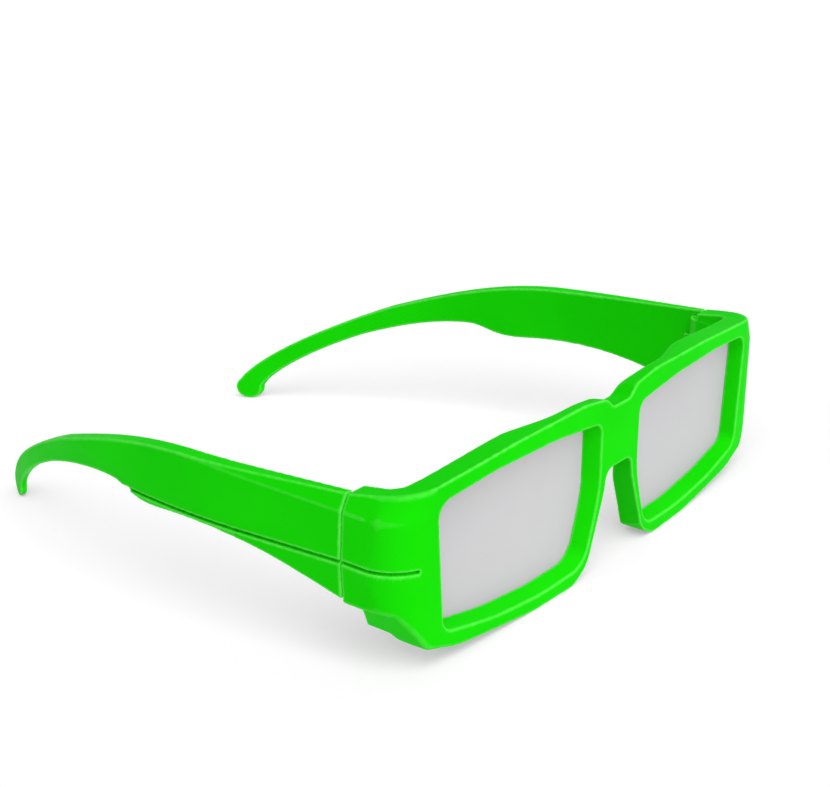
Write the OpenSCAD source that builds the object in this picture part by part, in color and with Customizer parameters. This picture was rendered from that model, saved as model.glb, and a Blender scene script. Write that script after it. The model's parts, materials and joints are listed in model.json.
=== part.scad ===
// Plastic eclipse glasses, in millimetres.
// The front is drawn upright, with its face towards -Y and the temples running back along +Y.
// The whole pair is then leaned by a few degrees, so that it stands on the feet of its rims and
// on the two temple tips, with the floor at Z = 0.

/* [Front] */
// Width of the front across its side walls
frame_w = 149.6; // [144:0.2:156]
// Height of the front from the feet of the rims to the crown of each brow
front_h = 42.6; // [40:0.2:45]
// Height of the top edge's outer end, where it turns into the side wall
brow_end_z = 40.6; // [39.4:0.1:41.2]
// Radius of the face's sweep from side to side
face_r = 695; // [450:5:1200]
// Radius of the vertical corner between face and side wall
corner_r = 10.4; // [8:0.2:11]
// How far the face stands in front of the frame's zero line at the nose
face_lead = 2.35; // [1.5:0.05:3]
// Depth of the top edge's dip over the bridge
bridge_dip = 3.6; // [2.5:0.1:5]
// Distance of each brow's inner end from the middle
brow_in_x = 6.4; // [5.5:0.1:8]
// How far back the brow's top edge reaches beside the bridge
brow_back_y = 0.8; // [0.4:0.1:1.6]
// Distance from the middle at which the brow's top starts to widen towards the head
brow_knee_x = 23; // [18:0.5:27]
// How much further back the brow's top reaches at its wide end
brow_fade = 6.5; // [5:0.1:8]
// Height of the top of the nose arch
arch_h = 24.3; // [22:0.1:26]
// Half width of the nose arch at its top
arch_half_w = 5.2; // [4.5:0.1:5.8]
// How much further apart the nose walls stand at their back edge, each
nose_flare = 1.4; // [0.5:0.1:1.6]
// Where the bridge ends towards the head
bridge_back_y = 3; // [2.4:0.1:3.8]
// Where the rims end towards the head, beside the nose
rim_back_nose_y = 4.4; // [4.2:0.1:5]
// Where the rims end towards the head, at the side walls
rim_back_side_y = 7.4; // [7.2:0.1:8.4]

/* [Side walls] */
// Height of the side wall's top at the hinge
side_top_z = 37.6; // [37:0.1:38.4]
// Height at which the bevel of the top outer edge starts
bevel_z = 34.2; // [33:0.1:35.5]
// Width of the bevel of the top outer edge
bevel_w = 1.9; // [0.8:0.1:2.4]
// Slope of the same bevel where it turns into the corner, in degrees from upright
corner_bevel = 17; // [8:1:28]
// How far the side wall swells out at the groove
crown = 0.6; // [0.2:0.1:1]
// Height of the side wall's lower edge at the hinge
side_low_z = 14.1; // [12.5:0.1:14.6]
// Width of the ledge under the side wall, above the shield
shield_ledge = 1.8; // [0.6:0.1:2.4]
// How far the lower shield slopes in under the side wall
shield_in = 8; // [5:0.1:9]
// Height of the shield's lower edge
shield_low_z = 4.9; // [4:0.1:7]
// How far in front of the parting line the top of the shield's back edge stands
shield_back = 1.8; // [1:0.1:4]
// Thickness of the shield's wall
shield_t = 2.2; // [1.6:0.1:3]
// Thickness of the side wall beside the hinge
side_t = 7.6; // [7:0.1:8]

/* [Groove] */
// Height of the groove along the side wall
groove_z = 23.5; // [21:0.1:26]
// Height of the groove where it leaves the temple
groove_end_z = 19.2; // [18:0.1:21]
// Width of the groove
groove_w = 0.8; // [0.4:0.1:1]
// Depth of the groove
groove_d = 0.6; // [0.3:0.1:0.8]

/* [Lenses] */
// Height of the lens opening's upper corners on the face
open_top_z = 36.3; // [35:0.1:37]
// How far the opening's upper and lower edges bulge between their corners
open_bulge = 1.7; // [1:0.1:2]
// Height of the opening's lower corner beside the nose
open_nose_z = 3.9; // [3.5:0.1:5]
// Height of the opening's lower outer corner
open_side_z = 7.5; // [6.5:0.1:9]
// Distance of the opening's upper nose corner from the middle
open_nose_x = 8; // [7.8:0.1:8.6]
// Height at which the opening's nose edge starts to slant outwards
open_knee_z = 20; // [18:0.1:21]
// Distance of the opening's lower nose corner from the middle
open_nose_low_x = 13.2; // [12.8:0.1:14]
// Distance of the opening's upper outer corner from the outside of the side wall
rim_side_w = 11.2; // [10.8:0.1:13.8]
// Distance of the opening's lower outer corner from the outside of the side wall
rim_side_low_w = 13.2; // [12.8:0.1:15.8]
// Depth of the recess from the face to the lens
lens_depth = 4; // [3:0.1:4.4]
// How far the recess narrows beside the nose
draft_nose = 1.9; // [1:0.1:2.2]
// How far the recess narrows along its other three sides
draft = 0.8; // [0.4:0.1:1.2]
// Thickness of the lens
lens_t = 0.8; // [0.4:0.1:1.2]
// Overlap of the lens behind the edge of its opening
lens_lap = 0.9; // [0.7:0.1:1]
// Thickness of the ring that holds the lens from behind
ring_t = 1.2; // [0.8:0.1:1.6]
// Width of the ring that holds the lens from behind
ring_w = 1.8; // [1.4:0.1:2.4]

/* [Temples] */
// Length of a temple from the hinge axis to the middle of its tip
temple_l = 136.2; // [129:0.2:144]
// Thickness of a temple at the hinge
temple_t = 4.4; // [3.8:0.1:4.6]
// Thickness of a temple at its tip
tip_t = 2.3; // [2:0.1:3.4]
// Radius of the temple's inward curve
temple_r = 235; // [200:5:400]
// Length of the temple's straight part
temple_straight = 23.5; // [18:0.5:32]
// How far the middle of the tip drops below the feet of the rims
tip_drop = 8.2; // [6:0.2:11]
// Radius of the rounded tip
tip_r = 3.4; // [2.8:0.1:3.8]
// Height of the temple's lower edge at the hinge
temple_low_z = 15; // [14.5:0.1:16.5]

/* [Hinges] */
// Distance of the parting line from the frame's zero line
part_y = 16.5; // [16:0.1:18]
// Gap between front and temple at the parting line
part_gap = 0.3; // [0.2:0.05:0.5]
// Radius of the hinge knuckles
knuckle_r = 2.5; // [2.2:0.1:2.7]
// Diameter of the hinge pin
pin_d = 1.6; // [1.2:0.1:2]
// Length of the hinge pin
pin_l = 19.4; // [17:0.1:19.8]
// Height of the lowest knuckle's underside
knuckle_low_z = 15.6; // [15.2:0.1:16]
// Height of each knuckle on the front
knuckle_h = 5; // [4:0.1:6]
// Height of the temple's knuckle
knuckle_mid_h = 10; // [8:0.1:10.4]

/* [Hidden] */
$fn = 96;

// Clearances: lens in its pocket, faces that meet, between knuckles, round a knuckle, and the pin
pocket_clear = 0.15;
seat_clear = 0.02;
knuckle_clear = 0.2;
swing_clear = 0.25;
pin_fit = 0.02;
pin_run = 0.06;
// A little extra, so that a cutting shape passes right through
over = 1;
// Segments in each rounded corner of an outline
arc_steps = 10;
// How deep the feet are cut flat on the floor
foot_flat = 0.25;
// How far the hinge axis lies inside the temple's inner wall
axis_in = 0.8;

half_w = frame_w / 2;
wall_x = half_w - crown;
top_z = front_h;
open_side_x = half_w - rim_side_w;
open_side_low_x = half_w - rim_side_low_w;

// Centre of the face's sweep, and of the corner that meets the side wall
face_cy = face_r - face_lead;
corner_x = half_w - corner_r;
corner_y = face_cy - sqrt((face_r - corner_r) ^ 2 - corner_x ^ 2);
tangent_x = corner_x * face_r / (face_r - corner_r);
function face_y(x) = face_cy - sqrt(face_r ^ 2 - x ^ 2);

// The hinge axis
hinge_x = half_w - temple_t - axis_in;
hinge_y = part_y;
knuckle_mid_z = knuckle_low_z + knuckle_h + knuckle_clear;
knuckle_top_z = knuckle_mid_z + knuckle_mid_h + knuckle_clear;
knuckle_end_z = knuckle_top_z + knuckle_h;

// The lean that puts both the feet and the tips on the floor
foot_y = face_y(open_nose_low_x + 4);
tip_y = hinge_y + temple_l;
tip_fall = tip_drop + foot_flat;
lean = asin(tip_r / norm([tip_y - foot_y, tip_fall])) + atan2(tip_fall, tip_y - foot_y);
floor_z = foot_y * sin(lean) + foot_flat * cos(lean);

// Corner points with radii become one outline with arcs at its corners
function unit(v) = v / norm(v);
function corner_arc(a, b, c, r) =
    let (u = unit(a - b), v = unit(c - b), half = acos(max(-1, min(1, u * v))) / 2)
    r <= 0 || half > 89.9 ? [b] :
    let (
        reach = r / tan(half),
        middle = b + unit(u + v) * r / sin(half),
        start = b + u * reach - middle,
        turn = 180 - 2 * half,
        way = u[0] * v[1] - u[1] * v[0] > 0 ? -1 : 1
    )
    [for (i = [0 : arc_steps]) let (t = way * turn * i / arc_steps)
        middle + [start[0] * cos(t) - start[1] * sin(t), start[0] * sin(t) + start[1] * cos(t)]];
function xy(p) = [p[0], p[1]];
function rounded(points) = let (n = len(points)) [
    for (i = [0 : n - 1], q = corner_arc(xy(points[(i + n - 1) % n]), xy(points[i]),
        xy(points[(i + 1) % n]), points[i][2])) q
];
function mirrored(points) = [for (i = [len(points) - 1 : -1 : 0])
    [-points[i][0], points[i][1], points[i][2]]];

// The front seen from the front: the line of its brow, and one half of the rest round to its arch
foot_in_x = open_nose_low_x - 0.4;
bridge_top_z = top_z - bridge_dip;
shield_x = wall_x - shield_in;
bevel_run = bevel_w / (side_top_z - bevel_z);
brow = [
    [brow_in_x - 3, bridge_top_z, 2.5],
    [brow_in_x, top_z - 1, 4],
    [frame_w * 0.1, top_z + 0.2, 30],
    [frame_w * 0.26, top_z - 0.2, 150],
    [corner_x + 2, brow_end_z, 12]
];
arch = [
    [arch_half_w + 0.3, open_knee_z, 18],
    [arch_half_w, arch_h, 2.6]
];
front_high_z = top_z + 2 * over;
front_half = concat([
    [wall_x - bevel_run * (front_high_z - bevel_z), front_high_z, 0],
    [wall_x, bevel_z, 1.5],
    [half_w, groove_z, 0.5],
    [wall_x, side_low_z, 0.6],
    [wall_x - shield_ledge, side_low_z, 0.8],
    [shield_x, shield_low_z, 1.5],
    [open_side_low_x - 5, open_side_z - 4.9, 30],
    [open_nose_low_x + 18, 0.1, 60],
    [foot_in_x, 0, 10]
], arch);
module front_outline() polygon(rounded(concat(front_half, mirrored(front_half))));

// Shapes drawn in the X-Z plane are stood up and run from y0 to y1
module along_y(y0, y1) translate([0, y1, 0]) rotate([90, 0, 0]) linear_extrude(y1 - y0) children();
// Shapes drawn in the Y-Z plane are stood up and run from x0 to x1
module along_x(x0, x1) translate([x0, 0, 0]) rotate([90, 0, 90]) linear_extrude(x1 - x0) children();
module both_sides() {
    children();
    mirror([1, 0, 0]) children();
}

// The front seen from above: the swept face, the two corners and the side walls
end_y = part_y - part_gap / 2;
module plan_outer(inset = 0) {
    intersection() {
        union() {
            translate([-tangent_x, -face_r / 2]) square([2 * tangent_x, face_r]);
            both_sides() {
                translate([corner_x, corner_y]) circle(corner_r - inset);
                translate([corner_x, corner_y]) square([corner_r - inset, face_r]);
            }
        }
        translate([0, face_cy]) circle(face_r - inset, $fn = 720);
        translate([-frame_w, -face_r / 2]) square([2 * frame_w, face_r / 2 + end_y]);
    }
}
bridge_end_x = arch_half_w + 1;
side_in_x = half_w - side_t;
module plan_head_space() {
    half = [
        [bridge_end_x, bridge_back_y, 1.5],
        [bridge_end_x + 2.4, rim_back_nose_y, 2],
        [side_in_x - 2, rim_back_side_y, 1.5],
        [side_in_x, rim_back_side_y + 2.4, 1.5],
        [side_in_x, end_y + over, 0]
    ];
    polygon(rounded(concat(mirrored(half), half)));
}

// The top surface slopes down towards the head, so that it meets the top of the temples
brow_slope = atan((brow_end_z - side_top_z) / (end_y + face_lead));
module brow_slope_room() {
    low = -4 * over;
    half = concat(brow, [
        [frame_w, brow_end_z, 0],
        [frame_w, low, 0]
    ]);
    translate([0, -face_lead, brow_end_z]) rotate([-brow_slope, 0, 0])
        translate([0, 0, -brow_end_z]) along_y(-2 * face_lead, 2 * part_y)
            polygon(rounded(concat(half, mirrored(half))));
}

// Beside the bridge the back of each brow leans forward, and this fades out along the brow
brow_back_lean = 36;
brow_fade_run = 23;
module brow_back_cut() {
    flat = cos(brow_back_lean);
    plan = [
        [-over, brow_back_y * flat, 0],
        [brow_knee_x, (brow_back_y + 0.3) * flat, 40],
        [brow_knee_x + brow_fade_run, (brow_back_y + 0.3 + brow_fade) * flat, 0],
        [brow_knee_x + brow_fade_run, 2 * part_y, 0],
        [-over, 2 * part_y, 0]
    ];
    both_sides() translate([0, 0, top_z]) rotate([brow_back_lean, 0, 0])
        translate([0, 0, -part_y]) linear_extrude(2 * part_y) polygon(rounded(plan));
}
// The bevel of the side wall's top follows the corner round, up to a clear end
corner_bevel_turn = 52;
module corner_bevel_cut() {
    rise = front_high_z - bevel_z;
    both_sides() translate([corner_x, corner_y, 0]) rotate([0, 0, -corner_bevel_turn])
        rotate_extrude(angle = corner_bevel_turn) polygon([
            [corner_r, bevel_z],
            [corner_r + over, bevel_z],
            [corner_r + over, front_high_z],
            [corner_r - rise * tan(corner_bevel), front_high_z]
        ]);
}

// The lens stands parallel to the chord of its half of the face
chord_in_x = open_nose_x;
chord_out_x = open_side_x;
wrap = atan2(face_y(chord_out_x) - face_y(chord_in_x), chord_out_x - chord_in_x);
module at_lens(depth) translate([chord_in_x, face_y(chord_in_x), 0]) rotate([0, 0, wrap])
    translate([-chord_in_x, depth, 0]) children();
module lens_slab(d0, d1) at_lens(0) along_y(d0, d1) children();

// The opening's outline at a depth: it narrows evenly from the face to the lens
function between(a, b, t, lift) = [a[0] + (b[0] - a[0]) * t, a[1] + (b[1] - a[1]) * t + lift, 70];
function bulged(p, bulge) = [
    p[0], p[1], p[2], between(p[2], p[3], 0.33, -bulge), between(p[2], p[3], 0.67, -bulge),
    p[3], p[4], between(p[4], p[0], 0.33, bulge), between(p[4], p[0], 0.67, bulge)
];
function opening(depth, grow = 0) = let (s = depth / lens_depth) bulged([
    [open_nose_x + s * draft_nose - grow, open_top_z - s * draft + grow, 3],
    [open_nose_x - 0.1 + s * draft_nose - grow, open_knee_z, 30],
    [open_nose_low_x + s * (draft_nose + draft) / 2 - grow, open_nose_z + s * draft - grow, 6],
    [open_side_low_x - s * draft + grow, open_side_z + s * draft - grow, 3.6],
    [open_side_x - s * draft + grow, open_top_z - s * draft + grow, 3.8]
], open_bulge);
module opening_shape(depth, grow = 0) polygon(rounded(opening(depth, grow)));
sliver = 0.02;
module recess() hull() {
    lens_slab(-lens_depth, -lens_depth + sliver) opening_shape(-lens_depth);
    lens_slab(lens_depth, lens_depth + sliver) opening_shape(lens_depth);
}
pocket_grow = lens_lap + pocket_clear;
module pocket() lens_slab(lens_depth, rim_back_side_y + 3 * over) opening_shape(lens_depth, pocket_grow);

// The nose walls stand further apart towards the head, from a short land behind the face
module nose_flare_cut() {
    run = rim_back_nose_y + face_lead;
    angle = atan(nose_flare / run);
    land = 0.1;
    slant = (foot_in_x - arch[0][0]) / open_knee_z;
    half = concat([
        [-over, arch_h, 0],
        [-over, -2 * over, 0],
        [foot_in_x + 2 * over * slant - land, -2 * over, 0]
    ], [for (p = arch) [p[0] - land, p[1], p[2]]]);
    both_sides() translate([0, face_y(0), 0]) rotate([0, 0, -angle])
        along_y(-2 * over, 2 * run) polygon(rounded(half));
}

// The lower shield is a thin wall: it is hollow towards the head
module shield_hollow() {
    profile = [
        [open_side_low_x + 2, shield_low_z + shield_t, 0.5],
        [shield_x - 0.8, shield_low_z + shield_t, 1],
        [wall_x - shield_ledge - shield_t * 1.4, side_low_z - 0.4, 1],
        [open_side_low_x + 4, side_low_z - 0.4, 1]
    ];
    along_y(rim_back_side_y - 3.5, part_y + over) polygon(rounded(profile));
}
// Behind the shield the side wall ends at the hinge, and the shield's back edge slopes
module shield_end_cut() {
    profile = [
        [end_y - shield_back, side_low_z, 0.4],
        [end_y + over, side_low_z, 0],
        [end_y + over, -over, 0],
        [end_y + 0.2, shield_low_z - over, 0],
        [end_y - shield_back - 1, side_low_z - 0.8, 0.6]
    ];
    along_x(corner_x - 12, half_w + over) polygon(rounded(profile));
}

// A shallow line cut into the outside of the front
groove_front_x = corner_x + 3.8;
module front_groove() {
    intersection() {
        difference() {
            translate([0, 0, groove_z - groove_w / 2]) linear_extrude(groove_w) difference() {
                plan_outer(-over);
                plan_outer(groove_d);
            }
            translate([-groove_front_x, -face_r, 0]) cube([2 * groove_front_x, 2 * face_r, 2 * top_z]);
        }
        translate([-frame_w, -face_lead - over, 0]) cube([2 * frame_w, part_y + 2 * face_lead, top_z]);
    }
}

// One barrel of a hinge with its root towards the piece that carries it
module barrel(z, h) translate([hinge_x, hinge_y, z]) cylinder(r = knuckle_r, h = h);
module barrel_room(z, h) translate([hinge_x, hinge_y, z]) cylinder(r = knuckle_r + swing_clear, h = h);
module axis_bore(clear, z, h) translate([hinge_x, hinge_y, z]) cylinder(d = pin_d + 2 * clear, h = h);

module front_knuckles() {
    for (z = [knuckle_low_z, knuckle_top_z]) {
        barrel(z, knuckle_h);
        translate([hinge_x - knuckle_r, hinge_y - knuckle_r - 1.5, z])
            cube([2 * knuckle_r, knuckle_r + 1.5, knuckle_h]);
    }
}
module front_upright() {
    difference() {
        union() {
            intersection() {
                translate([0, 0, -over]) linear_extrude(top_z + 2 * over) difference() {
                    plan_outer();
                    plan_head_space();
                }
                along_y(-face_lead - over, part_y + over) front_outline();
                brow_slope_room();
            }
            both_sides() front_knuckles();
        }
        nose_flare_cut();
        brow_back_cut();
        corner_bevel_cut();
        front_groove();
        both_sides() {
            recess();
            pocket();
            shield_hollow();
            shield_end_cut();
            barrel_room(knuckle_mid_z - knuckle_clear, knuckle_mid_h + 2 * knuckle_clear);
            axis_bore(pin_fit, knuckle_low_z - 2 * over, pin_l + 2 * over);
        }
    }
}

// A temple's section at the hinge, run back in a straight line and then round the inward curve
curve_y = hinge_y + temple_straight;
curve_x = half_w - temple_r;
temple_floor_z = -2 * tip_drop - 10;
module temple_section(skin = 0) {
    depth = 30;
    profile = [
        [half_w - depth, temple_floor_z, 0],
        [wall_x - skin, temple_floor_z, 0],
        [wall_x - skin, side_low_z, 1.2],
        [half_w - skin, groove_z, 0.5],
        [wall_x - skin, bevel_z, 1.5],
        [wall_x - bevel_w - skin, side_top_z, 0],
        [wall_x - bevel_w - skin - 2, side_top_z + 2, 0],
        [half_w - depth, side_top_z + 2, 0]
    ];
    polygon(rounded(profile));
}
module temple_run(skin = 0) {
    sweep = asin((temple_l + tip_r - temple_straight + over) / temple_r) + 3;
    along_y(part_y + part_gap / 2, curve_y) temple_section(skin);
    translate([curve_x, curve_y, 0]) rotate_extrude(angle = sweep, $fn = 360)
        translate([-curve_x, 0]) temple_section(skin);
}
// The temple seen from above: it thins steadily towards its tip
module temple_band() {
    sweep = asin((temple_l - temple_straight) / temple_r);
    thinning = (temple_t - tip_t) / (1 - cos(sweep));
    inner_r = temple_r - temple_t + thinning;
    difference() {
        translate([0, hinge_y]) square([half_w, temple_l + 2 * tip_r]);
        translate([0, hinge_y - over]) square([half_w - temple_t, temple_straight + over]);
        intersection() {
            translate([curve_x - thinning, curve_y]) circle(inner_r, $fn = 360);
            translate([0, curve_y]) square([half_w, temple_l]);
        }
    }
}

// The temple seen from the side, as distances behind the hinge and heights above the feet
function bez(p, t) = len(p) == 1 ? p[0] :
    bez([for (i = [0 : len(p) - 2]) p[i] * (1 - t) + p[i + 1] * t], t);
function curve(p, steps) = [for (i = [0 : steps]) bez(p, i / steps)];
temple_base_l = 137;
reach_l = temple_l / temple_base_l;
tip_z = -tip_drop;
// Points of the temple's edges: the first three curves run along its top, the others back below it
top_points = [[41, 34.5], [60, 33.5], [74, 29.4], [96, 21.3], [113, 13.9], [127, 6.3], [138, -1.5]];
low_points = [
    [132.6, -4.6], [123.4, 3.2], [104, 12], [92, 16.8], [80, 20.2], [70, 20.3],
    [64, 19.4], [63, 17.6], [54, 18.8], [44, 20.3], [30, 21.2], [14, 18]
];
function stretched(list, i, j) = [for (k = [i : j]) [list[k][0] * reach_l, list[k][1]]];
module temple_side() {
    top_edge = concat(
        [[part_gap / 2, side_top_z]],
        curve(stretched(top_points, 0, 3), 10),
        curve(concat(stretched(top_points, 3, 6), [[temple_l + tip_r, tip_z + 0.5]]), 14)
    );
    low_edge = concat(
        curve(concat([[temple_l - tip_r, tip_z + 0.5]], stretched(low_points, 0, 2)), 12),
        curve(stretched(low_points, 2, 5), 8),
        curve(stretched(low_points, 5, 8), 8),
        curve(stretched(low_points, 8, 11), 8),
        [[part_gap / 2, temple_low_z]]
    );
    translate([hinge_y, 0]) {
        polygon(concat(top_edge, low_edge));
        translate([temple_l, tip_z]) circle(tip_r);
    }
}
module temple_groove() {
    end_d = 72 * reach_l;
    intersection() {
        difference() {
            temple_run(-over);
            temple_run(groove_d);
        }
        along_x(0, half_w + 2 * over) translate([hinge_y, 0]) polygon([
            [-over, groove_z - groove_w / 2],
            [end_d, groove_end_z - groove_w / 2],
            [end_d, groove_end_z + groove_w / 2],
            [-over, groove_z + groove_w / 2]
        ]);
    }
}
module left_temple() {
    difference() {
        union() {
            intersection() {
                temple_run();
                translate([0, 0, temple_floor_z]) linear_extrude(side_top_z - temple_floor_z + over)
                    temple_band();
                along_x(0, half_w + over) temple_side();
            }
            barrel(knuckle_mid_z, knuckle_mid_h);
            translate([hinge_x, hinge_y, knuckle_mid_z])
                cube([knuckle_r, knuckle_r + 2, knuckle_mid_h]);
        }
        temple_groove();
        barrel_room(temple_low_z - over, knuckle_mid_z - knuckle_clear / 2 - temple_low_z + over);
        barrel_room(knuckle_top_z - knuckle_clear / 2, knuckle_h + knuckle_clear);
        axis_bore(pin_run, knuckle_mid_z - over, knuckle_mid_h + 2 * over);
    }
}

module left_lens() lens_slab(lens_depth + seat_clear, lens_depth + seat_clear + lens_t)
    opening_shape(lens_depth, lens_lap);
module left_ring() {
    front_d = lens_depth + 2 * seat_clear + lens_t;
    lens_slab(front_d, front_d + ring_t) difference() {
        opening_shape(lens_depth, lens_lap);
        opening_shape(lens_depth, lens_lap - ring_w);
    }
}
module left_pin() translate([hinge_x, hinge_y, knuckle_low_z]) cylinder(d = pin_d, h = pin_l);

// Lean the upright pair back onto its feet and tips, midway between the brow and the tips
back_end_y = tip_y * cos(lean) - tip_z * sin(lean) + tip_r;
front_end_y = face_y(brow[1][0]) * cos(lean) - brow[1][1] * sin(lean);
module standing() translate([0, -(front_end_y + back_end_y) / 2, -floor_z]) rotate([lean, 0, 0]) children();

module front_frame() color("lime") difference() {
    standing() front_upright();
    translate([-frame_w, -frame_w, -frame_w]) cube([2 * frame_w, 2 * frame_w, frame_w]);
}
module lens_right() color("silver") standing() mirror([1, 0, 0]) left_lens();
module lens_left() color("silver") standing() left_lens();
module lens_ring_right() color("limegreen") standing() mirror([1, 0, 0]) left_ring();
module lens_ring_left() color("limegreen") standing() left_ring();
module temple_right() color("lime") standing() mirror([1, 0, 0]) left_temple();
module temple_left() color("lime") standing() left_temple();
module hinge_pin_right() color("gray") standing() mirror([1, 0, 0]) left_pin();
module hinge_pin_left() color("gray") standing() left_pin();

front_frame();
lens_right();
lens_left();
lens_ring_right();
lens_ring_left();
temple_right();
temple_left();
hinge_pin_right();
hinge_pin_left();
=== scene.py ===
# Plastic eclipse glasses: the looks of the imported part, laid out as a Blender add-on.
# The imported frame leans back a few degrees, face towards -Y, temples running to +Y, floor at Z = 0.

import json
import math

import bpy
import numpy as np
from bpy.props import (
    BoolProperty, FloatProperty, FloatVectorProperty, IntProperty, PointerProperty)
from mathutils import Matrix, Vector


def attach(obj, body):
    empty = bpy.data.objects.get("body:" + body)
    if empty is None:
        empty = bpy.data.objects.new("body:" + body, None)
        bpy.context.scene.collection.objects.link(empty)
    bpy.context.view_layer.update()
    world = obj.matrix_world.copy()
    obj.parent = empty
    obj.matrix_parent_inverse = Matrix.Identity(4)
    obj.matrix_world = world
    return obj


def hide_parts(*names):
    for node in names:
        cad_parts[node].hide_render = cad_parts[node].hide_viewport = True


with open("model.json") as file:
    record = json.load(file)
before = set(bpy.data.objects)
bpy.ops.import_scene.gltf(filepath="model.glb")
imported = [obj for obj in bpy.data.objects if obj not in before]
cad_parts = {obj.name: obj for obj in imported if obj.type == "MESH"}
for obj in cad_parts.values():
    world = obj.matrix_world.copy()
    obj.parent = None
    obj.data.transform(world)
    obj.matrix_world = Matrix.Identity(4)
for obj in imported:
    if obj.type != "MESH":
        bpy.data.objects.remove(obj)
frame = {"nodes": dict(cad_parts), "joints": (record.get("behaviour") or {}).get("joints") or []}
NODES = frame["nodes"]
JOINTS = {joint["name"]: joint for joint in frame["joints"]}

bl_info = {
    "name": "Eclipse glasses",
    "version": (1, 0, 0),
    "blender": (4, 5, 0),
    "location": "View3D > Sidebar > Glasses",
    "description": "Moulded shell, temples, film lenses and hinge pins of eclipse glasses",
    "category": "Object",
}

MM = 0.001
SIDES = ("right", "left")

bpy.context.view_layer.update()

# The hinge line of the left temple gives the glasses' own upright and backward directions
LEFT_HINGE = JOINTS["temple_left_fold"]
HINGE_MIDDLE = Vector((0, *LEFT_HINGE["pos_m"][1:]))
UPRIGHT = Vector(LEFT_HINGE["axis"])
BACKWARD = Vector((0, UPRIGHT.z, -UPRIGHT.y))
LEAN = math.atan2(-UPRIGHT.y, UPRIGHT.z)

# Forms of the front, as sideways, backward and upward distances from the middle of the hinges
FACE_RADIUS = 695 * MM
FACE_BACK = -18.85 * MM
BROW_UP = 12.6 * MM
BROW_END = 64 * MM
CORNER_SIDE = 64.4 * MM
CORNER_BACK = -5.41 * MM
CORNER_RADIUS = 10.4 * MM
BEVEL_UP = 8.4 * MM
BEVEL_RISE = 10 * MM

# Middles of the spots where the creases fade: at the top of each corner and at each chin
SOFT_SPOTS = ((70.8 * MM, -13.6 * MM, 11.5 * MM), (65 * MM, -15.8 * MM, -21.5 * MM))

# Width over which softness fades in, how many such widths the soft skin of a corner is deep,
# and the steps to which each point's softness is rounded
BLEND = 1.5 * MM
CORNER_BLENDS = 2.5
SHARE_STEPS = 10

# Segments of the wedge that bevels a corner, and how far it runs past the bevel's end, in radians
CUTTER_STEPS = 30
CUTTER_OVERRUN = 0.1

# How often the turn of the skin is evened with its neighbours, and the shortest edge that counts
EVENING_RINGS = 3
SHORTEST_EDGE = 1e-9

# Names of the materials
SHELL_PLASTIC = "green shell plastic"
RING_PLASTIC = "green ring plastic"
LENS_FILM = "coated film"
PIN_STEEL = "drawn steel"

# Parts of the noises' range that are stretched to full contrast, and how streaks are drawn out
CLOUDS = (0.36, 0.64)
# Range of the noise that leaves gaps in the painted edge highlights
GAP_RANGE = (0.3, 0.6)
RIPPLES = (0.3, 0.7)
STREAKS = (0.4, 0.7)
STREAK_STRETCH = (1.0, 1.0, 0.12)

# Cosines of the turn at which the painted highlight on a sharp edge starts to show and is full, and
# rays to find it with
SHARP_EDGE = (0.98, 0.80)
EDGE_RAYS = 4

# Power that widens the painted highlight line on a rounded edge
EDGE_CURVE = 0.5

# How much of the painted edge highlight the gap noise leaves at the least, and how much later the
# painted shade of an inner corner starts
ROUNDED_HIGHLIGHT_LEAST = 0.55
SHARP_HIGHLIGHT_LEAST = 0.5
INNER_DELAY = 3.0

# Least and most roughness of the finishes, and how much smoother an edge under its painted highlight
# is
PLASTIC_ROUGHNESS = (0.34, 0.52)
FILM_ROUGHNESS = (0.40, 0.48)
STEEL_ROUGHNESS = (0.28, 0.45)
EDGE_SHINE = 0.08

# Widths of the painted highlight strip on the rings' and the pins' edges
RING_EDGE = 0.25 * MM
PIN_EDGE = 0.12 * MM

WHITE = (1.0, 1.0, 1.0, 1.0)

# The camera's sensor in millimetres and the range that it sees in metres
SENSOR_WIDTH = 36
CLIP_START = 0.01
CLIP_END = 20


# Kinds of settings

def length_setting(name, description, millimetres):
    """A length whose default is given in millimetres."""
    return FloatProperty(
        name=name, description=description, default=millimetres * MM, unit="LENGTH", precision=6)


def share_setting(name, description, share):
    """A share from none to all."""
    return FloatProperty(
        name=name, description=description, default=share, min=0, max=1, subtype="FACTOR")


def angle_setting(name, description, degrees):
    """An angle whose default is given in degrees."""
    return FloatProperty(
        name=name, description=description, default=math.radians(degrees), subtype="ANGLE")


def colour_setting(name, description, colour):
    """A solid colour in linear light."""
    return FloatVectorProperty(
        name=name, description=description, default=(*colour, 1), size=4, subtype="COLOR",
        min=0, max=1)


def place_setting(name, description, place):
    """A place in metres from the part's origin."""
    return FloatVectorProperty(
        name=name, description=description, default=place, size=3, subtype="TRANSLATION",
        unit="LENGTH")


# Settings

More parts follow.
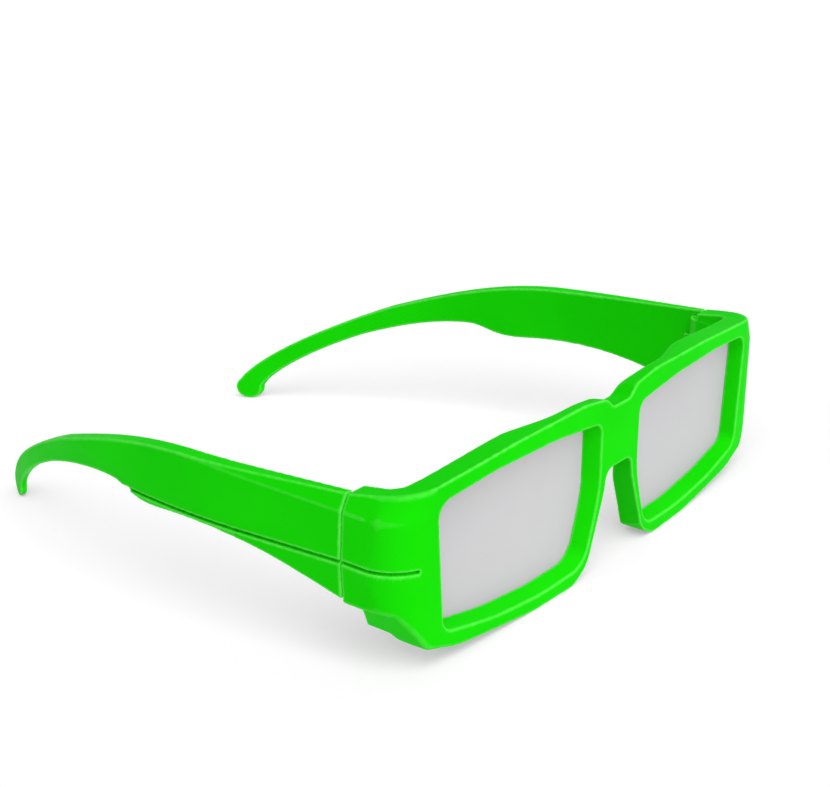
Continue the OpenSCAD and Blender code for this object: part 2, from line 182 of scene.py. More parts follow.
class GlassesShell(bpy.types.PropertyGroup):
    """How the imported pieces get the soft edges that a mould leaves."""

    skin: FloatProperty(
        name="Skin mesh", description="Side of the even mesh that is laid over a moulded piece",
        default=0.2 * MM, min=0.15 * MM, max=1 * MM, unit="LENGTH", precision=5)
    smoothing: share_setting(
        "Smoothing", "How far each pass draws a point to its neighbours", 0.5)
    passes: IntProperty(
        name="Passes", description="Smoothing passes over the edges of a moulded piece",
        default=9, min=1, max=30)
    face_limit: IntProperty(
        name="Triangles", description="Most triangles that a moulded piece keeps",
        default=190000, min=20000, max=199000)
    groove_drop: length_setting(
        "Groove height", "How far the side groove runs below the hinge's middle", 2.3)
    groove_fall: FloatProperty(
        name="Groove fall", description="How far the groove drops for each metre along the temple",
        default=4.3 / 72)
    groove_band: length_setting(
        "Groove band", "Half height of the band in which the groove stays crisp", 0.9)
    groove_hold: share_setting(
        "Groove hold", "How much of the smoothing is held off the groove", 0.6)
    soft_passes: IntProperty(
        name="Soft passes", description="Further passes where the real edges are well rounded",
        default=120, min=0, max=600)
    brow_edge: length_setting(
        "Brow land", "Depth of the crisp part of the brow's top, behind the face", 2.2)
    soft_spot: length_setting(
        "Soft spots", "Radius in which the creases fade at each corner and chin", 6)
    corner_share: share_setting(
        "Corner softness", "Share of the soft passes that the round corners get", 1.0)
    bevel_slope: FloatProperty(
        name="Corner bevel", description="Run of the corner's bevel for each metre of its rise",
        default=0.559, min=0, max=1)
    bevel_hold: angle_setting(
        "Bevel hold", "How far round the corner the bevel keeps its full slope", 25)
    bevel_end: angle_setting(
        "Bevel end", "How far round the corner the bevel has faded out", 88)
    weld: length_setting(
        "Weld distance", "Points of a packed mesh closer than this are one point", 0.02)


class GlassesColours(bpy.types.PropertyGroup):
    """Colours of the finishes."""

    shell: colour_setting(
        "Shell green", "Moulded plastic of the front and the temples", (0.009, 0.72, 0.002))
    shell_deep: colour_setting(
        "Deep green", "Moulded plastic where the melt ran denser", (0.006, 0.63, 0.001))
    # Painted highlight: a pale green laid on the edges where they would catch the light
    shell_painted_highlight: colour_setting(
        "Edge highlight green", "Rounded edges that handling has polished pale", (0.22, 0.98, 0.16))
    # Painted shade: a dark green laid in inner corners, grooves and parting lines where shade falls
    shell_painted_shade: colour_setting(
        "Crevice shade green", "Inner corners, grooves and parting lines", (0.004, 0.36, 0.001))
    bounce: colour_setting(
        "Cast light", "Colour of the light that the plastic throws on its neighbours",
        (0.34, 0.40, 0.34))
    film: colour_setting("Film grey", "Coated film of the lenses", (0.565, 0.56, 0.572))
    film_deep: colour_setting(
        "Film shade", "Coated film where its coat is thicker", (0.54, 0.535, 0.55))
    steel: colour_setting("Pin steel", "Hinge pins", (0.56, 0.57, 0.58))
    steel_dull: colour_setting(
        "Dull steel", "Hinge pins where they have tarnished", (0.36, 0.36, 0.36))
    # Painted highlight: a bright grey laid on the pins' sharp edges
    steel_painted_highlight: colour_setting(
        "Bright steel", "Edges of the hinge pins' ends", (0.75, 0.75, 0.75))
    ground: colour_setting("Floor white", "Floor and backdrop", (0.9, 0.9, 0.9))


class GlassesFinish(bpy.types.PropertyGroup):
    """Scales and strengths of the surface detail."""

    drift_size: length_setting(
        "Drift size", "Width of the slow colour drifts in the plastic", 38)
    drift_share: share_setting("Drift", "Strength of the drifts in the plastic", 0.6)
    peel_size: length_setting(
        "Flow ripple", "Width of the shallow ripples that the melt leaves", 2.4)
    grain_size: length_setting("Grain size", "Width of the fine grain of the mould", 0.22)
    grain_depth: length_setting("Grain depth", "Depth of ripples and grain together", 0.012)
    grain_strength: share_setting("Grain strength", "How strongly the grain shows", 0.5)
    # The gap noise breaks up the painted edge highlights; the same size sets the film's rubbed
    # streaks
    gap_and_streak_size: length_setting(
        "Scuff size", "Width of the scuffs that break up worn edges", 1.6)
    # Where the painted highlight on a rounded edge begins and where it is full
    edge_start: FloatProperty(
        name="Edge start", description="Turn of the skin at which a rounded edge starts to pale",
        default=0.011, min=0, max=1, precision=4)
    edge_full: FloatProperty(
        name="Edge full", description="Turn of the skin at which a rounded edge is palest",
        default=0.11, min=0, max=1, precision=4)
    # Strength of the painted highlight on the edges
    edge_highlight_strength: share_setting("Edge highlight strength", "Strength of the pale edges", 0.42)
    gloss: FloatProperty(
        name="Plastic gloss", description="Specular level of the plastic",
        default=0.008, min=0, max=1, precision=4)
    film_ripple: length_setting("Film ripple", "Width of the ripples in the lens film", 9)
    film_depth: length_setting("Film depth", "Depth of the ripples in the lens film", 0.02)
    film_strength: share_setting("Film strength", "How strongly the film's ripples show", 0.4)
    film_drift: share_setting("Film drift", "Strength of the drifts in the film's coat", 0.7)
    film_gloss: FloatProperty(
        name="Film gloss", description="Specular level of the film",
        default=0.12, min=0, max=1, precision=4)
    tarnish: share_setting("Tarnish", "Strength of the dull patches on the pins", 0.8)
    # Strength of the painted highlight on the pins' edges
    steel_highlight_strength: share_setting("Pin highlight", "Strength of the pins' bright edges", 0.5)
    steel_depth: length_setting("Pin lines", "Depth of the lines drawn along the pins", 0.01)
    steel_strength: share_setting("Line strength", "How strongly the pins' lines show", 0.3)


class GlassesStage(bpy.types.PropertyGroup):
    """Camera, lamps and floor."""

    camera_place: place_setting(
        "Camera place", "Where the camera stands", (-0.301189, -0.265415, 0.162158))
    camera_turn: FloatVectorProperty(
        name="Camera turn", description="How the camera is turned", size=3, subtype="EULER",
        default=tuple(math.radians(a) for a in (71.2412, 3.2064, -52.1383)))
    camera_lens: FloatProperty(
        name="Focal length", description="Focal length in millimetres",
        default=73.0387, min=20, max=200)
    floor_size: FloatProperty(
        name="Floor size", description="Side of the square floor",
        default=12.0, unit="LENGTH")
    floor_glow: share_setting(
        "Floor white", "What the eye adds to the floor, so that it shows as white", 0.12)
    sky: FloatProperty(
        name="Sky", description="Strength of the even light all round",
        default=0.44, min=0, max=2)
    top_light: FloatProperty(
        name="Top light", description="Strength of the soft light from above",
        default=1.5, min=0, max=10)
    top_light_from: place_setting(
        "Top light from", "Where the soft light comes from", (-0.40, -0.50, 0.85))
    top_light_width: angle_setting(
        "Top light width", "Angle that the soft light covers, for the softness of its shadow", 50)
    front_light: FloatProperty(
        name="Front light", description="Strength of the light from the front",
        default=1.1, min=0, max=10)
    front_light_from: place_setting(
        "Front light from", "Where the front light comes from", (0.15, -0.85, 0.5))
    front_light_width: angle_setting(
        "Front light width", "Angle that the front light covers", 30)
    front_shadow: BoolProperty(
        name="Front light's shadow", description="The front light throws a second shadow",
        default=False)


# Selection and shaping helpers

def deselect_all():
    if bpy.context.mode != "OBJECT":
        bpy.ops.object.mode_set(mode="OBJECT")
    bpy.ops.object.select_all(action="DESELECT")


def make_active(obj):
    deselect_all()
    obj.select_set(True)
    bpy.context.view_layer.objects.active = obj


def copy_node(name, new_name):
    """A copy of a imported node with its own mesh, left as the active object."""
    source = NODES[name]
    copy = source.copy()
    copy.data = source.data.copy()
    for key in [key for key in copy.keys() if key.startswith("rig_")]:
        del copy[key]
    copy.parent = None
    copy.name = new_name
    copy.data.name = new_name
    copy.data.materials.clear()
    bpy.context.scene.collection.objects.link(copy)
    make_active(copy)
    return copy


def close_skin(weld=None):
    """Turns the active object's faces outwards, first merging points nearer than the weld."""
    bpy.ops.object.mode_set(mode="EDIT")
    bpy.ops.mesh.select_all(action="SELECT")
    if weld:
        bpy.ops.mesh.customdata_custom_splitnormals_clear()
        bpy.ops.mesh.remove_doubles(threshold=weld)
    bpy.ops.mesh.normals_make_consistent(inside=False)
    bpy.ops.object.mode_set(mode="OBJECT")


def turn_mesh(obj, angle):
    """Turns the mesh about the X axis through the origin, and leaves its object unturned."""
    make_active(obj)
    obj.rotation_mode = "XYZ"
    obj.rotation_euler.x = angle
    bpy.ops.object.transform_apply(location=False, rotation=True, scale=False)


def apply_all(obj):
    """Applies every modifier of the object."""
    make_active(obj)
    for name in [modifier.name for modifier in obj.modifiers]:
        bpy.ops.object.modifier_apply(modifier=name)


def mesh_array(items, name, width, kind):
    """One property of all the points or edges of a mesh, as rows."""
    values = np.empty(len(items) * width, kind)
    items.foreach_get(name, values)
    return values.reshape(-1, width)


def fade_in(distance):
    """Rises from 0 to 1 over one blend."""
    return np.clip(distance / BLEND, 0, 1)


# Soft edges of the moulded pieces

def upright_places(obj):
    """Each point as sideways, backward and upward distances from the middle of the hinges."""
    points = mesh_array(obj.data.vertices, "co", 3, np.float32)
    from_hinge = points - np.array(HINGE_MIDDLE, np.float32)
    return np.abs(points[:, 0]), from_hinge @ np.array(BACKWARD), from_hinge @ np.array(UPRIGHT)


def from_groove(back, up, shell):
    """How far each point lies above or below the middle of the side groove."""
    return np.abs(up + shell.groove_drop + shell.groove_fall * np.maximum(back, 0))


def groove_share(obj, shell):
    """How much each point of the side groove is held back from the smoothing."""
    side, back, up = upright_places(obj)
    return np.where(from_groove(back, up, shell) < shell.groove_band, shell.groove_hold, 0.0)


def soft_share(obj, shell):
    """How softly each point is rounded: the brows' back edge, the round corners, the chins."""
    side, back, up = upright_places(obj)
    behind_face = back - FACE_BACK - side ** 2 / (2 * FACE_RADIUS)
    brow = fade_in(behind_face - shell.brow_edge)
    brow *= fade_in(up - BROW_UP) * np.clip((BROW_END - side) / (2 * BLEND), 0, 1)
    out = np.hypot(side - CORNER_SIDE, back - CORNER_BACK)
    corner = fade_in(side - CORNER_SIDE) * fade_in(CORNER_BACK - back)
    corner *= np.clip((out - CORNER_RADIUS) / BLEND + CORNER_BLENDS, 0, 1) * shell.corner_share
    corner *= fade_in(from_groove(back, up, shell) - shell.groove_band)
    share = np.maximum(brow, corner)
    for spot in SOFT_SPOTS:
        away = np.linalg.norm(np.stack((side, back, up), 1) - np.array(spot, np.float32), axis=1)
        share = np.maximum(share, np.clip(1 - away / shell.soft_spot, 0, 1))
    return share


def smooth_by(obj, name, shares, factor, passes, invert=False):
    """Smooths the mesh, each point by its own share, or by what its share leaves."""
    group = obj.vertex_groups.new(name=name)
    steps = np.round(shares * SHARE_STEPS).astype(int)
    for step in range(1, SHARE_STEPS + 1):
        group.add(np.flatnonzero(steps == step).tolist(), step / SHARE_STEPS, "REPLACE")
    smooth = obj.modifiers.new(name, "SMOOTH")
    smooth.factor = factor
    smooth.iterations = passes
    smooth.vertex_group = name
    smooth.invert_vertex_group = invert
    apply_all(obj)
    obj.vertex_groups.clear()


def mark_edges(obj):
    """Keeps on each point how sharply the skin turns there: above 0 outwards, below 0 inwards."""
    mesh = obj.data
    count = len(mesh.vertices)
    points = mesh_array(mesh.vertices, "co", 3, np.float32)
    normals = mesh_array(mesh.vertices, "normal", 3, np.float32)
    first, second = mesh_array(mesh.edges, "vertices", 2, np.int32).T
    way = points[second] - points[first]
    way /= np.maximum(np.linalg.norm(way, axis=1, keepdims=True), SHORTEST_EDGE)
    fall = np.bincount(first, -(way * normals[first]).sum(axis=1), count)
    fall += np.bincount(second, (way * normals[second]).sum(axis=1), count)
    neighbours = np.bincount(first, minlength=count) + np.bincount(second, minlength=count)
    turn = fall / neighbours
    for _ in range(EVENING_RINGS):
        around = np.bincount(first, turn[second], count) + np.bincount(second, turn[first], count)
        turn = (turn + around / neighbours) / 2
    layer = mesh.attributes.new("edge turn", "FLOAT", "POINT")
    layer.data.foreach_set("value", turn.astype(np.float32))


def bevel_cutter(sign, shell):
    """A wedge that bevels the top of one front corner and fades out on its way to the face."""
    middle = Matrix.Rotation(-LEAN, 3, "X") @ HINGE_MIDDLE
    middle += Vector((sign * CORNER_SIDE, CORNER_BACK, BEVEL_UP))
    outside = CORNER_RADIUS + BLEND
    points, faces = [], []
    for step in range(CUTTER_STEPS + 1):
        turn = step / CUTTER_STEPS * (shell.bevel_end + CUTTER_OVERRUN)
        fade = (shell.bevel_end - turn) / (shell.bevel_end - shell.bevel_hold)
        cut = CORNER_RADIUS - shell.bevel_slope * min(1, fade) * BEVEL_RISE
        section = ((CORNER_RADIUS, 0), (outside, 0), (outside, BEVEL_RISE), (cut, BEVEL_RISE))
        for out, up in section:
            points.append(middle + Vector((sign * out * math.cos(turn), -out * math.sin(turn), up)))
    for base in range(0, 4 * CUTTER_STEPS, 4):
        for a, b in ((0, 1), (1, 2), (2, 3), (3, 0)):
            faces.append((base + a, base + b, base + b + 4, base + a + 4))
    faces += [(0, 1, 2, 3), tuple(4 * CUTTER_STEPS + i for i in range(4))]
    mesh = bpy.data.meshes.new("corner wedge")
    mesh.from_pydata(points, [], faces)
    cutter = bpy.data.objects.new("corner wedge", mesh)
    bpy.context.scene.collection.objects.link(cutter)
    make_active(cutter)
    close_skin()
    return cutter


def cut_corner_bevels(obj, shell):
    """Takes the bevel of the side walls round both front corners."""
    for sign in (-1, 1):
        cutter = bevel_cutter(sign, shell)
        cut = obj.modifiers.new("Corner bevel", "BOOLEAN")
        cut.operation = "DIFFERENCE"
        cut.object = cutter
        apply_all(obj)
        bpy.data.objects.remove(cutter, do_unlink=True)


def soften(obj, shell, corners):
    """Gives the piece one even skin and rounds its edges, as polish does to a mould."""
    turn_mesh(obj, -LEAN)
    if corners:
        cut_corner_bevels(obj, shell)
    remesh = obj.modifiers.new("Even skin", "REMESH")
    remesh.mode = "VOXEL"
    remesh.voxel_size = shell.skin
    apply_all(obj)
    turn_mesh(obj, LEAN)
    smooth_by(obj, "groove", groove_share(obj, shell), shell.smoothing, shell.passes, invert=True)
    if corners:
        smooth_by(obj, "soft edges", soft_share(obj, shell), shell.smoothing, shell.soft_passes)
    mark_edges(obj)
    triangles = sum(len(face.vertices) - 2 for face in obj.data.polygons)
    if triangles > shell.face_limit:
        thin = obj.modifiers.new("Fewer triangles", "DECIMATE")
        thin.ratio = shell.face_limit / triangles
        apply_all(obj)
    bpy.ops.object.shade_smooth()


def moulded_piece(node_name, new_name, body, corners=False):
    """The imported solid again, with soft edges, riding on its body in place of its node."""
    shell = bpy.context.scene.glasses_shell
    piece = copy_node(node_name, new_name)
    close_skin(shell.weld)
    soften(piece, shell, corners)
    assign(piece, SHELL_PLASTIC)
    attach(piece, body)
    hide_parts(node_name)


# Shader helpers

def feed(tree, socket, value):
    """Links the value to the socket if it comes from another one, or else sets it there."""
    if isinstance(value, bpy.types.NodeSocket):
        tree.links.new(value, socket)
    else:
        socket.default_value = value


def add_node(tree, kind, inputs=None, **choices):
    """Adds a shader node, sets its choices, and feeds its inputs by name or number."""
    node = tree.nodes.new(kind)
    for name, value in choices.items():
        setattr(node, name, value)
    for name, value in (inputs or {}).items():
        feed(tree, node.inputs[name], value)
    return node


def new_material(name):
    """An empty node material."""
    material = bpy.data.materials.new(name)
    material.use_nodes = True
    material.node_tree.nodes.clear()
    return material


def assign(obj, name):
    """Gives the object one material by its name."""
    obj.data.materials.clear()
    obj.data.materials.append(bpy.data.materials[name])


def new_group(name, inputs, outputs):
    """A new shader group: its tree, the sockets that it is given and those of its result."""
    group = bpy.data.node_groups.new(name, "ShaderNodeTree")
    for title, kind, default in inputs:
        socket = group.interface.new_socket(name=title, in_out="INPUT", socket_type=kind)
        socket.default_value = default
    for title, kind in outputs:
        group.interface.new_socket(name=title, in_out="OUTPUT", socket_type=kind)
    source = group.nodes.new("NodeGroupInput")
    target = group.nodes.new("NodeGroupOutput")
    return group, source.outputs, target.inputs


def use_group(tree, name, inputs):
    """Places a shader group in a tree and feeds its inputs."""
    return add_node(tree, "ShaderNodeGroup", inputs, node_tree=bpy.data.node_groups[name])


def mix_colours(tree, share, first, second):
    """The first colour, turning into the second by the share."""
    mix = add_node(tree, "ShaderNodeMix", {0: share, 6: first, 7: second}, data_type="RGBA")
    return mix.outputs[2]


def calculate(tree, operation, first, second):
    """The result of one sum on values or sockets."""
    return add_node(tree, "ShaderNodeMath", {0: first, 1: second}, operation=operation).outputs[0]


def spread(tree, value, low, high, to_low=0.0, to_high=1.0):
    """Maps the range from low to high onto another one, and holds its ends outside it."""
    node = add_node(tree, "ShaderNodeMapRange", {
        "Value": value, "From Min": low, "From Max": high, "To Min": to_low, "To Max": to_high})
    return node.outputs["Result"]


def object_noise(tree, scale, detail, vector=None):
    """Noise on Object coordinates, so that it stays with the piece."""
    if vector is None:
        vector = tree.nodes.new("ShaderNodeTexCoord").outputs["Object"]
    noise = add_node(tree, "ShaderNodeTexNoise", {
        "Vector": vector, "Scale": scale, "Detail": detail})
    return noise.outputs["Fac"]


# Shader groups

def build_drift_group():
    """Colour drift: two colours in slow cloudy patches."""
    tree, given, result = new_group("colour drift", (
        ("Main", "NodeSocketColor", (1, 1, 1, 1)),
        ("Second", "NodeSocketColor", (0, 0, 0, 1)),
        ("Scale", "NodeSocketFloat", 25.0),
        ("Share", "NodeSocketFloat", 0.6),
    ), (("Colour", "NodeSocketColor"),))
    cloud = object_noise(tree, given["Scale"], 3.0)
    share = calculate(tree, "MULTIPLY", spread(tree, cloud, *CLOUDS), given["Share"])
    feed(tree, result["Colour"], mix_colours(tree, share, given["Main"], given["Second"]))


def build_grain_group():
    """Moulded grain: shallow flow ripples under a fine grain, for bump and gloss."""
    tree, given, result = new_group("moulded grain", (
        ("Ripple scale", "NodeSocketFloat", 400.0),
        ("Grain scale", "NodeSocketFloat", 4000.0),
        ("Grain share", "NodeSocketFloat", 0.35),
    ), (("Height", "NodeSocketFloat"), ("Dullness", "NodeSocketFloat")))
    ripple = object_noise(tree, given["Ripple scale"], 1.0)
    grain = object_noise(tree, given["Grain scale"], 2.0)
    fine = calculate(tree, "MULTIPLY", grain, given["Grain share"])
    feed(tree, result["Height"], calculate(tree, "ADD", ripple, fine))
    feed(tree, result["Dullness"], calculate(
        tree, "MULTIPLY", spread(tree, ripple, *RIPPLES), grain))


def build_rounded_edge_group():
    """Edges of a moulded piece: a mask of its convex edges for the painted highlight, broken up by
    noise, and a mask of its inner corners for the painted shade.
    """
    tree, given, result = new_group("rounded edge light and shade", (
        ("Start", "NodeSocketFloat", 0.01),
        ("Full", "NodeSocketFloat", 0.04),
        ("Gap scale", "NodeSocketFloat", 600.0),
    ), (("Outer highlight", "NodeSocketFloat"), ("Inner shade", "NodeSocketFloat")))
    turn = add_node(tree, "ShaderNodeAttribute", attribute_name="edge turn").outputs["Fac"]
    highlight_mask = spread(tree, turn, given["Start"], given["Full"])
    highlight_mask = calculate(tree, "POWER", highlight_mask, EDGE_CURVE)
    gaps = spread(tree, object_noise(tree, given["Gap scale"], 3.0), *GAP_RANGE, ROUNDED_HIGHLIGHT_LEAST, 1.0)
    hollow = calculate(tree, "MULTIPLY", turn, -1.0)
    inner_start = calculate(tree, "MULTIPLY", given["Start"], INNER_DELAY)
    feed(tree, result["Outer highlight"], calculate(tree, "MULTIPLY", highlight_mask, gaps))
    feed(tree, result["Inner shade"], spread(tree, hollow, inner_start, given["Full"]))


def build_sharp_edge_group():
    """Edges of a plainly meshed piece: a mask of the strip beside each sharp edge, for the painted
    highlight laid there, broken up by noise.
    """
    tree, given, result = new_group("sharp edge highlight", (
        ("Width", "NodeSocketFloat", 0.0003),
        ("Gap scale", "NodeSocketFloat", 600.0),
    ), (("Edge", "NodeSocketFloat"),))
    rounded = add_node(tree, "ShaderNodeBevel", {"Radius": given["Width"]}, samples=EDGE_RAYS)
    flat = tree.nodes.new("ShaderNodeNewGeometry").outputs["Normal"]
    facing = add_node(tree, "ShaderNodeVectorMath", {0: rounded.outputs["Normal"], 1: flat},
                      operation="DOT_PRODUCT")
    edge = spread(tree, facing.outputs["Value"], *SHARP_EDGE)
    gaps = spread(tree, object_noise(tree, given["Gap scale"], 3.0), *GAP_RANGE, SHARP_HIGHLIGHT_LEAST, 1.0)
    feed(tree, result["Edge"], calculate(tree, "MULTIPLY", edge, gaps))


def build_ripple_group():
    """Film ripple: the slack of a thin coated film, with fine rubbed streaks."""
    tree, given, result = new_group("film ripple", (
        ("Ripple scale", "NodeSocketFloat", 110.0),
        ("Streak scale", "NodeSocketFloat", 900.0),
    ), (("Height", "NodeSocketFloat"), ("Streaks", "NodeSocketFloat")))
    place = tree.nodes.new("ShaderNodeTexCoord").outputs["Object"]
    drawn = add_node(tree, "ShaderNodeMapping", {"Vector": place, "Scale": STREAK_STRETCH})
    streaks = object_noise(tree, given["Streak scale"], 3.0, drawn.outputs[0])
    feed(tree, result["Height"], object_noise(tree, given["Ripple scale"], 1.0))
    feed(tree, result["Streaks"], spread(tree, streaks, *STREAKS))


# Materials

def close_material(tree, colour, roughness, relief, gloss):
    """Ends a material with its shader; the relief is a height, its strength and its depth."""
    height, strength, depth = relief
    bump = add_node(tree, "ShaderNodeBump", {
        "Height": height, "Strength": strength, "Distance": depth})
    shader = add_node(tree, "ShaderNodeBsdfPrincipled", {
        "Base Color": colour, "Roughness": roughness, "Normal": bump.outputs[0], **gloss})
    add_node(tree, "ShaderNodeOutputMaterial", {"Surface": shader.outputs[0]})


def moulded_plastic(name, main, rounded):
    """Glossy moulded plastic: drifting colour, a painted highlight on its edges, painted shade in the
    inner corners of a rounded piece, fine grain.
    """
    colours = bpy.context.scene.glasses_colours
    finish = bpy.context.scene.glasses_finish
    tree = new_material(name).node_tree
    colour = use_group(tree, "colour drift", {
        "Main": main, "Second": colours.shell_deep, "Scale": 1 / finish.drift_size,
        "Share": finish.drift_share}).outputs["Colour"]
    if rounded:
        edges = use_group(tree, "rounded edge light and shade", {
            "Start": finish.edge_start, "Full": finish.edge_full,
            "Gap scale": 1 / finish.gap_and_streak_size}).outputs
        highlight_mask = edges["Outer highlight"]
        # Painted shade: inner corners and grooves are darkened towards the shade green
        colour = mix_colours(tree, edges["Inner shade"], colour, colours.shell_painted_shade)
    else:
        highlight_mask = use_group(tree, "sharp edge highlight", {
            "Width": RING_EDGE, "Gap scale": 1 / finish.gap_and_streak_size}).outputs["Edge"]
    # Painted highlight: the edges are paled towards the highlight green
    highlighted = calculate(tree, "MULTIPLY", highlight_mask, finish.edge_highlight_strength)
    colour = mix_colours(tree, highlighted, colour, colours.shell_painted_highlight)
    cast = tree.nodes.new("ShaderNodeLightPath").outputs["Is Diffuse Ray"]
    colour = mix_colours(tree, cast, colour, colours.bounce)
    grain = use_group(tree, "moulded grain", {
        "Ripple scale": 1 / finish.peel_size, "Grain scale": 1 / finish.grain_size}).outputs
    roughness = spread(tree, grain["Dullness"], 0, 1, *PLASTIC_ROUGHNESS)
    shine = calculate(tree, "MULTIPLY", highlight_mask, EDGE_SHINE)
    close_material(
        tree, colour, calculate(tree, "SUBTRACT", roughness, shine),
        (grain["Height"], finish.grain_strength, finish.grain_depth),
        {"Specular IOR Level": finish.gloss})


def coated_film():
    """Opaque silver-grey filter film: soft sheen, slow ripples, faint rubbed streaks."""
    colours = bpy.context.scene.glasses_colours
    finish = bpy.context.scene.glasses_finish
    tree = new_material(LENS_FILM).node_tree
    colour = use_group(tree, "colour drift", {
        "Main": colours.film, "Second": colours.film_deep, "Scale": 1 / finish.drift_size,
        "Share": finish.film_drift}).outputs["Colour"]
    film = use_group(tree, "film ripple", {
        "Ripple scale": 1 / finish.film_ripple, "Streak scale": 1 / finish.gap_and_streak_size}).outputs
    close_material(
        tree, colour, spread(tree, film["Streaks"], 0, 1, *FILM_ROUGHNESS),
        (film["Height"], finish.film_strength, finish.film_depth),
        {"Specular IOR Level": finish.film_gloss})


def drawn_steel():
    """Drawn steel wire: lines along its length, dull patches, a painted highlight on its sharp edges.
    """
    colours = bpy.context.scene.glasses_colours
    finish = bpy.context.scene.glasses_finish
    tree = new_material(PIN_STEEL).node_tree
    colour = use_group(tree, "colour drift", {
        "Main": colours.steel, "Second": colours.steel_dull, "Scale": 1 / finish.peel_size,
        "Share": finish.tarnish}).outputs["Colour"]
    edge = use_group(tree, "sharp edge highlight", {
        "Width": PIN_EDGE, "Gap scale": 1 / finish.gap_and_streak_size}).outputs["Edge"]
    # Painted highlight: the pins' sharp edges are brightened
    highlighted = calculate(tree, "MULTIPLY", edge, finish.steel_highlight_strength)
    colour = mix_colours(tree, highlighted, colour, colours.steel_painted_highlight)
    lines = use_group(tree, "film ripple", {
        "Ripple scale": 1 / finish.peel_size, "Streak scale": 1 / finish.grain_size}).outputs
    close_material(
        tree, colour, spread(tree, lines["Streaks"], 0, 1, *STEEL_ROUGHNESS),
        (lines["Streaks"], finish.steel_strength, finish.steel_depth),
        {"Metallic": 1.0})


# Operators

class GLASSES_OT_finishes(bpy.types.Operator):
    """Build the shader groups and the materials of every piece"""

    bl_idname = "glasses.finishes"
    bl_label = "Finishes"

    def execute(self, context):
        colours = context.scene.glasses_colours
        for build in (build_drift_group, build_grain_group, build_rounded_edge_group,
                      build_sharp_edge_group, build_ripple_group):
            build()
        moulded_plastic(SHELL_PLASTIC, colours.shell, rounded=True)
        moulded_plastic(RING_PLASTIC, colours.shell_deep, rounded=False)
        coated_film()
        drawn_steel()
        return {"FINISHED"}


class GLASSES_OT_front(bpy.types.Operator):
    """Model the front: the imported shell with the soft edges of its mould"""

    bl_idname = "glasses.front"
    bl_label = "Front"

    def execute(self, context):
        moulded_piece("front_frame", "front_shell", "front", corners=True)
        return {"FINISHED"}


class GLASSES_OT_temples(bpy.types.Operator):
    """Model the two temples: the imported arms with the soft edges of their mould"""

    bl_idname = "glasses.temples"
    bl_label = "Temples"

    def execute(self, context):
        for side in SIDES:
            moulded_piece(f"temple_{side}", f"temple_arm_{side}", f"temple_{side}")
        return {"FINISHED"}


class GLASSES_OT_lenses(bpy.types.Operator):
    """Finish the film lenses and the rings that hold them"""

    bl_idname = "glasses.lenses"
    bl_label = "Lenses"

    def execute(self, context):
        for side in SIDES:
            assign(NODES[f"lens_{side}"], LENS_FILM)
            assign(NODES[f"lens_ring_{side}"], RING_PLASTIC)
        return {"FINISHED"}


class GLASSES_OT_pins(bpy.types.Operator):
    """Finish the hinge pins"""

    bl_idname = "glasses.pins"
    bl_label = "Hinge pins"

    def execute(self, context):
        for side in SIDES:
            assign(NODES[f"hinge_pin_{side}"], PIN_STEEL)
        return {"FINISHED"}


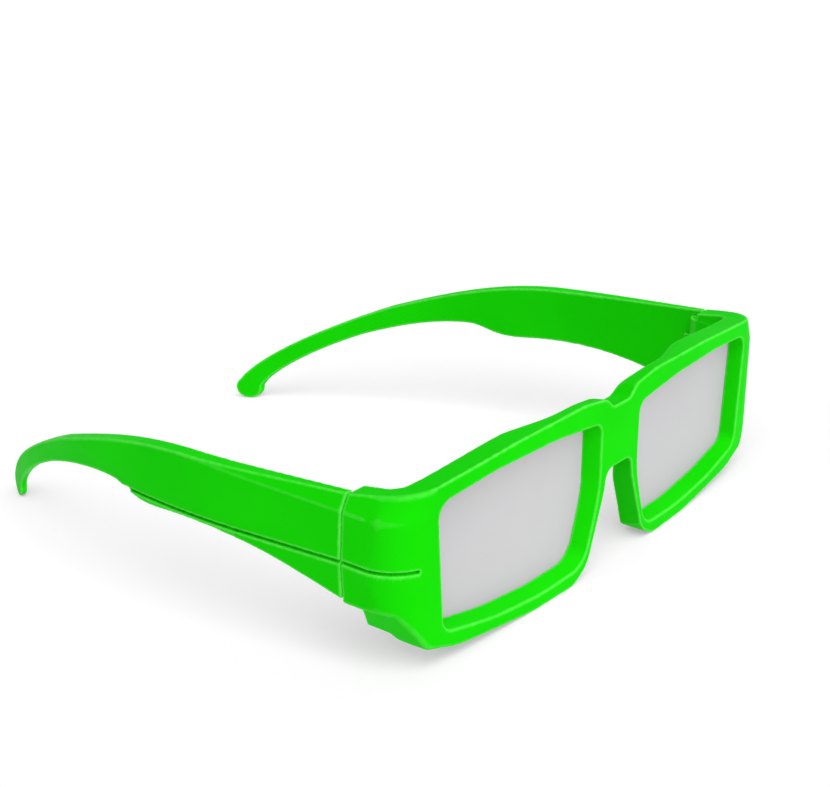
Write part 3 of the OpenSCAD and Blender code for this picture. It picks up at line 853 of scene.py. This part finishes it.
class GLASSES_OT_stage(bpy.types.Operator):
    """Set up the floor, the lamps and the camera"""

    bl_idname = "glasses.stage"
    bl_label = "Stage"

    def execute(self, context):
        stage = context.scene.glasses_stage
        self.add_floor(context, stage)
        self.add_sky(context, stage)
        self.add_lamp(
            "top light", stage.top_light_from, stage.top_light, stage.top_light_width, True)
        self.add_lamp(
            "front light", stage.front_light_from, stage.front_light, stage.front_light_width,
            stage.front_shadow)
        self.add_camera(context, stage)
        context.scene.view_settings.view_transform = "Standard"
        return {"FINISHED"}

    def add_floor(self, context, stage):
        """A white floor: what the eye sees of it is lifted a little, and it keeps the shadow."""
        deselect_all()
        bpy.ops.mesh.primitive_plane_add(size=stage.floor_size, location=(0, 0, 0))
        floor = context.active_object
        floor.name = "floor"
        tree = new_material("white floor").node_tree
        colours = context.scene.glasses_colours
        matt = add_node(tree, "ShaderNodeBsdfDiffuse", {"Color": colours.ground})
        path = tree.nodes.new("ShaderNodeLightPath").outputs
        seen = calculate(tree, "MAXIMUM", path["Is Camera Ray"], path["Is Glossy Ray"])
        glow = add_node(tree, "ShaderNodeEmission", {
            "Strength": calculate(tree, "MULTIPLY", seen, stage.floor_glow)})
        both = add_node(tree, "ShaderNodeAddShader", {0: matt.outputs[0], 1: glow.outputs[0]})
        add_node(tree, "ShaderNodeOutputMaterial", {"Surface": both.outputs[0]})
        assign(floor, "white floor")

    def add_sky(self, context, stage):
        """Even white light all round, which the eye sees as plain white."""
        world = bpy.data.worlds.new("white room")
        world.use_nodes = True
        tree = world.node_tree
        tree.nodes.clear()
        path = tree.nodes.new("ShaderNodeLightPath").outputs
        seen = calculate(tree, "MAXIMUM", path["Is Camera Ray"], path["Is Transmission Ray"])
        back = add_node(tree, "ShaderNodeBackground", {
            "Color": WHITE, "Strength": spread(tree, seen, 0, 1, stage.sky, 1.0)})
        add_node(tree, "ShaderNodeOutputWorld", {"Surface": back.outputs[0]})
        context.scene.world = world

    def add_lamp(self, name, place, strength, width, shadow):
        """A far lamp that shines from a place towards the glasses."""
        deselect_all()
        bpy.ops.object.light_add(type="SUN", location=tuple(place))
        lamp = bpy.context.active_object
        lamp.name = name
        lamp.data.energy = strength
        lamp.data.angle = width
        lamp.data.use_shadow = shadow
        lamp.rotation_euler = (-Vector(place)).to_track_quat("-Z", "Y").to_euler()

    def add_camera(self, context, stage):
        """The camera at the viewing angle of the picture."""
        data = bpy.data.cameras.new("photo camera")
        camera = bpy.data.objects.new("photo camera", data)
        context.scene.collection.objects.link(camera)
        camera.location = stage.camera_place
        camera.rotation_euler = stage.camera_turn
        data.lens = stage.camera_lens
        data.sensor_width = SENSOR_WIDTH
        data.clip_start = CLIP_START
        data.clip_end = CLIP_END
        context.scene.camera = camera


class GLASSES_PT_panel(bpy.types.Panel):
    """Lists the pieces of the glasses and their settings"""

    bl_idname = "GLASSES_PT_panel"
    bl_label = "Eclipse glasses"
    bl_space_type = "VIEW_3D"
    bl_region_type = "UI"
    bl_category = "Glasses"

    def draw(self, context):
        for operator in OPERATORS:
            self.layout.operator(operator.bl_idname)
        for name in SETTINGS:
            settings = getattr(context.scene, name)
            box = self.layout.box()
            for prop in settings.bl_rna.properties:
                if prop.identifier not in ("rna_type", "name"):
                    box.prop(settings, prop.identifier)


SETTINGS = {
    "glasses_shell": GlassesShell,
    "glasses_colours": GlassesColours,
    "glasses_finish": GlassesFinish,
    "glasses_stage": GlassesStage,
}
OPERATORS = (
    GLASSES_OT_finishes, GLASSES_OT_front, GLASSES_OT_temples, GLASSES_OT_lenses,
    GLASSES_OT_pins, GLASSES_OT_stage)


def register():
    for cls in (*SETTINGS.values(), *OPERATORS, GLASSES_PT_panel):
        bpy.utils.register_class(cls)
    for name, group in SETTINGS.items():
        setattr(bpy.types.Scene, name, PointerProperty(type=group))


def unregister():
    for name in SETTINGS:
        delattr(bpy.types.Scene, name)
    for cls in reversed((*SETTINGS.values(), *OPERATORS, GLASSES_PT_panel)):
        bpy.utils.unregister_class(cls)


def write_sizes():
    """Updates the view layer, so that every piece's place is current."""
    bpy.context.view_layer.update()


def main():
    register()
    bpy.ops.glasses.finishes()
    bpy.ops.glasses.front()
    bpy.ops.glasses.temples()
    bpy.ops.glasses.lenses()
    bpy.ops.glasses.pins()
    bpy.ops.glasses.stage()
    write_sizes()


if __name__ == "__main__":
    main()
